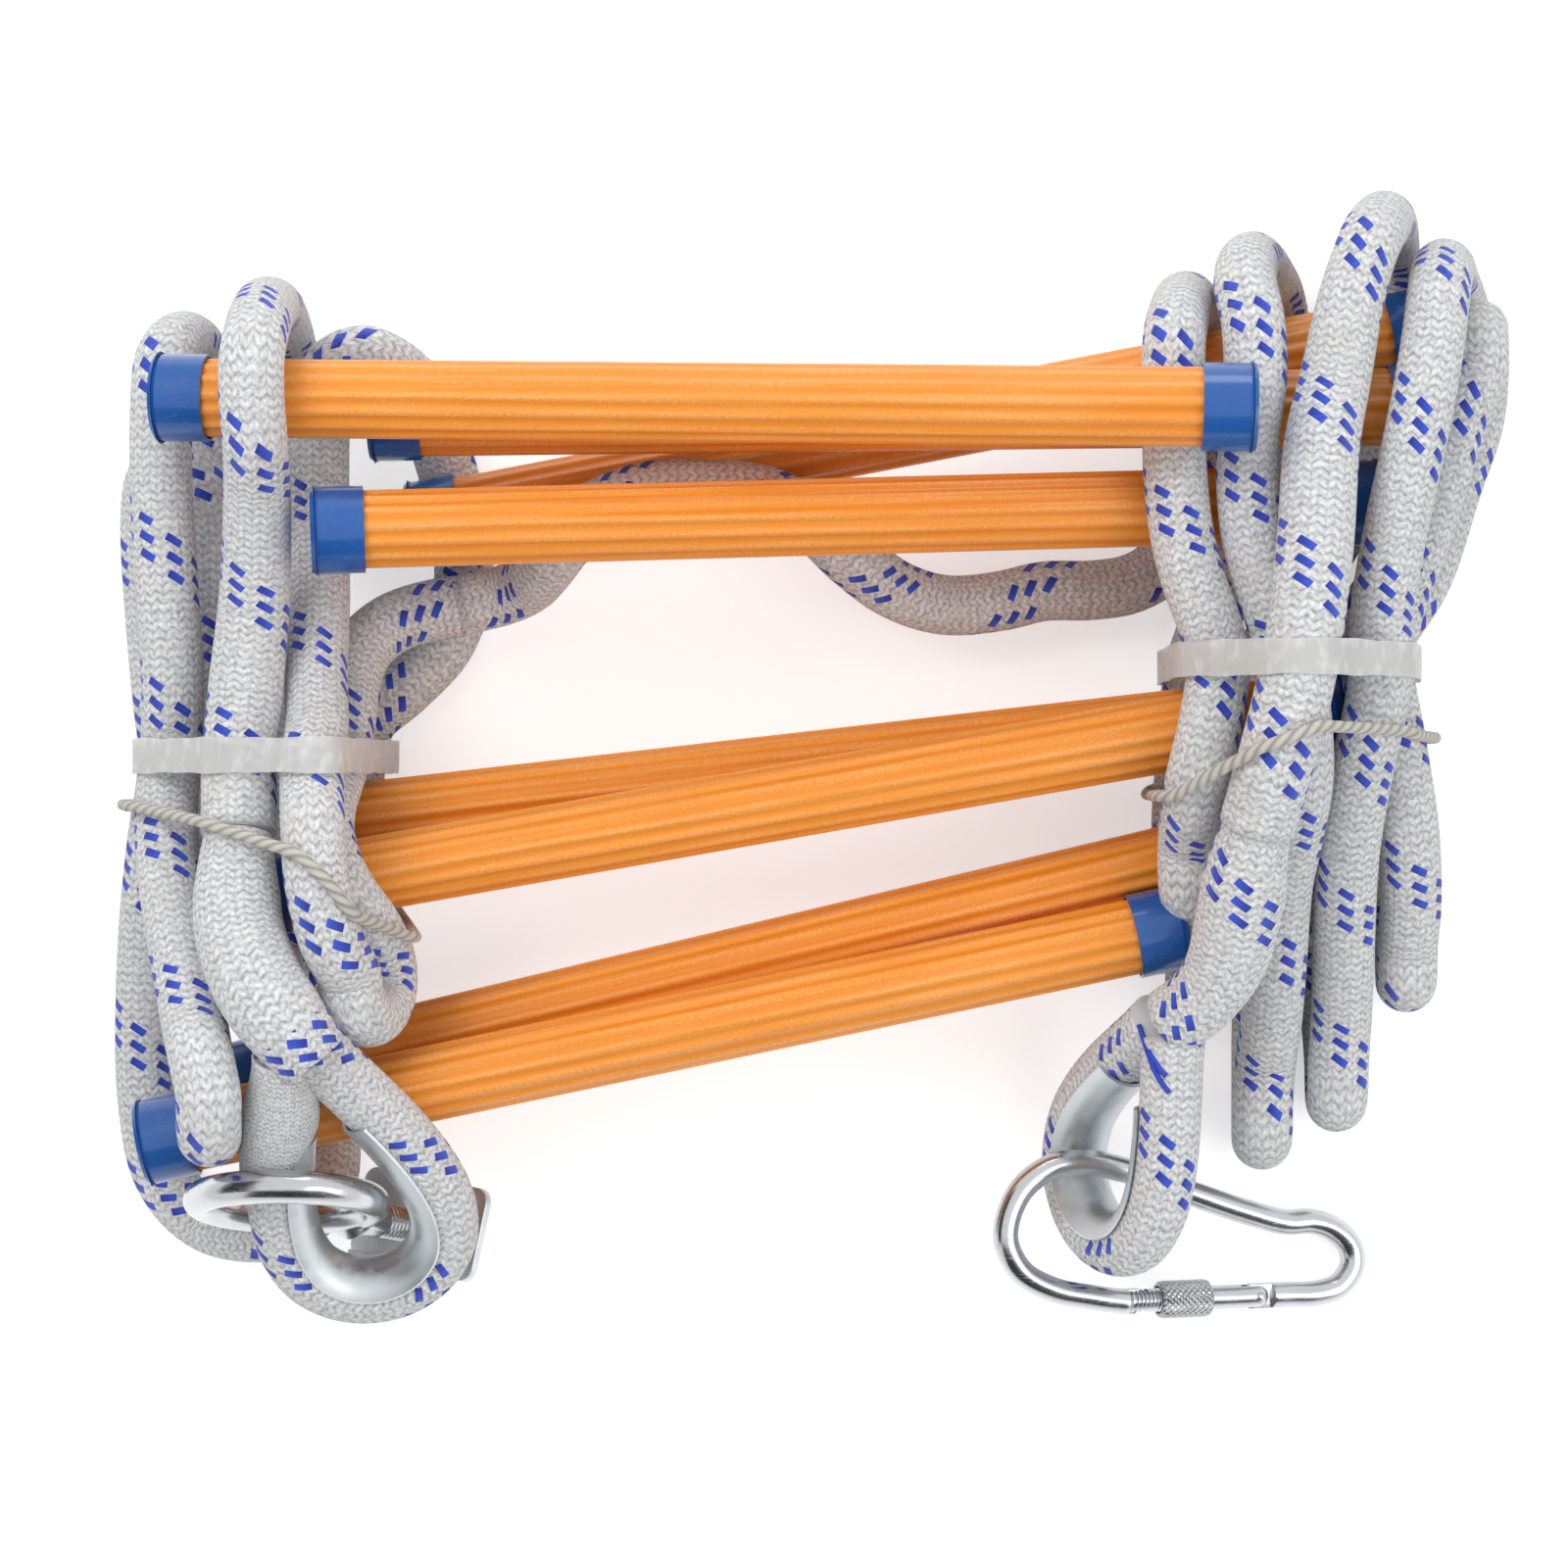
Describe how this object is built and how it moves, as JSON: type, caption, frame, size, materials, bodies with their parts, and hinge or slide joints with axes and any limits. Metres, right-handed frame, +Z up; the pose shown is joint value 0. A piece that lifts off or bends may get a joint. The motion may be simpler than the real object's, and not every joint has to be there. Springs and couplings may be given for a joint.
{
  "type": "emergency escape ladder",
  "caption": "Rope escape ladder folded into a tied bundle: ribbed resin rungs with capped ends, braided side ropes in two hanks, thimble eyes, screw-gate carabiner and eye bolt with plate.",
  "frame": {"origin": "middle of the bundle's bounding box, on the surface it lies on", "axes": "+X along the rungs to the picture's right, +Y up the picture towards the folded rope ends, +Z up from the surface"},
  "size_m": [0.499, 0.3974, 0.1363],
  "materials": {
    "orange_resin": "ribbed pultruded resin, satin gloss",
    "blue_plastic": "moulded, smooth gloss",
    "braided_rope": "white double braid with a blue tracer",
    "clear_tape": "translucent packing tape",
    "grey_twine": "twisted twine",
    "satin_zinc": "galvanised, satin",
    "bright_zinc": "bright zinc plate"
  },
  "bodies": {
    "bundle": {"rung_1": "orange_resin", "rung_2": "orange_resin", "rung_3": "orange_resin", "rung_4": "orange_resin", "rung_5": "orange_resin", "rung_6": "orange_resin", "rung_7": "orange_resin", "rung_8": "orange_resin", "rung_1_left_cap": "blue_plastic", "rung_1_right_cap": "blue_plastic", "rung_2_left_cap": "blue_plastic", "rung_2_right_cap": "blue_plastic", "rung_3_left_cap": "blue_plastic", "rung_3_right_cap": "blue_plastic", "rung_4_left_cap": "blue_plastic", "rung_4_right_cap": "blue_plastic", "rung_5_left_cap": "blue_plastic", "rung_5_right_cap": "blue_plastic", "rung_6_left_cap": "blue_plastic", "rung_6_right_cap": "blue_plastic", "rung_7_left_cap": "blue_plastic", "rung_7_right_cap": "blue_plastic", "rung_8_left_cap": "blue_plastic", "rung_8_right_cap": "blue_plastic", "left_rope_hank": "braided_rope", "right_rope_hank": "braided_rope", "bottom_rope_run": "braided_rope", "left_eye_splice": "braided_rope", "right_eye_splice": "braided_rope", "left_tape_band": "clear_tape", "right_tape_band": "clear_tape", "left_twine_tie": "grey_twine", "right_twine_tie": "grey_twine", "left_thimble": "satin_zinc", "right_thimble": "satin_zinc"},
    "bolt": {"eye_bolt": "bright_zinc", "anchor_plate": "satin_zinc", "bolt_washer": "bright_zinc"},
    "nut": {"bolt_nut": "bright_zinc"},
    "carabiner": {"carabiner_body": "bright_zinc", "gate_pin": "bright_zinc"},
    "gate": {"carabiner_gate": "bright_zinc", "gate_spring": "bright_zinc", "gate_plunger": "bright_zinc"},
    "sleeve": {"lock_sleeve": "bright_zinc"}
  },
  "joints": [
    {"name": "bolt_swing", "type": "hinge", "parent": "bundle", "child": "bolt", "pos_m": [-0.1773, -0.1506, 0.0814], "axis": [0, 0.9563, -0.2924], "range_deg": [-10, 0]},
    {"name": "nut_turn", "type": "hinge", "parent": "bolt", "child": "nut", "pos_m": [-0.1773, -0.1506, 0.0814], "axis": [0.6293, -0.2272, -0.7432], "continuous": true},
    {"name": "carabiner_swing", "type": "hinge", "parent": "bundle", "child": "carabiner", "pos_m": [0.10193, -0.142, 0.03305], "axis": [-0.9613, 0, 0.2756], "range_deg": [0, 10]},
    {"name": "gate_hinge", "type": "hinge", "parent": "carabiner", "child": "gate", "pos_m": [0.16288, -0.1919, 0.01558], "axis": [-0.2756, 0, -0.9613], "range_deg": [0, 22], "stiffness_Nm_per_rad": 0.6, "springref_deg": -11.46},
    {"name": "sleeve_travel", "type": "slide", "parent": "gate", "child": "sleeve", "axis": [-0.9613, 0, 0.2756], "range_m": [0, 0.009]}
  ]
}
